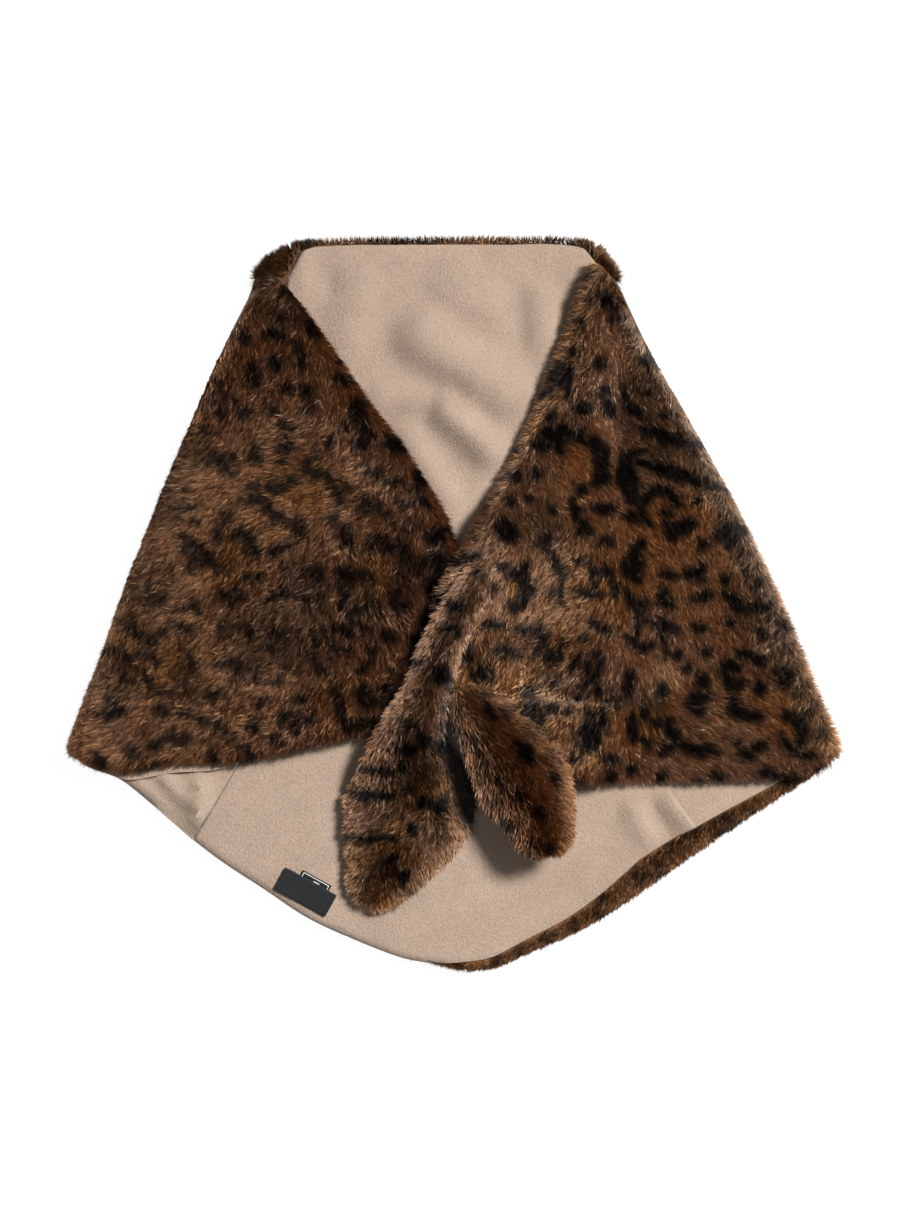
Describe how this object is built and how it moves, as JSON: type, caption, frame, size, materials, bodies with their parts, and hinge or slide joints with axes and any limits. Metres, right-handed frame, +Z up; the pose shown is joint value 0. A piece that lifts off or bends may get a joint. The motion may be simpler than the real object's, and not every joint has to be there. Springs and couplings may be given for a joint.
{
  "type": "faux fur headscarf",
  "caption": "Lined faux fur kerchief worn as a hood, laid flat with its fronts folded over the back and tied in a knot.",
  "frame": {"origin": "bottom centre of the whole piece as it lies, on the surface that it rests on", "axes": "+Z up, away from the surface; +Y towards the straight edge that goes round the face; +X to the right as seen from above"},
  "size_m": [0.5372, 0.5174, 0.0475],
  "materials": {
    "fur": "brown faux fur with a dark spotted print",
    "lining": "brushed beige lining",
    "woven_label": "black woven tape"
  },
  "bodies": {
    "root": {"fur_back": "fur", "fur_left": "fur", "fur_right": "fur", "lining_back": "lining", "lining_left": "lining", "lining_right": "lining", "tail_left": "fur", "tail_right": "fur", "label": "woven_label", "size_tab": "woven_label"}
  },
  "joints": []
}
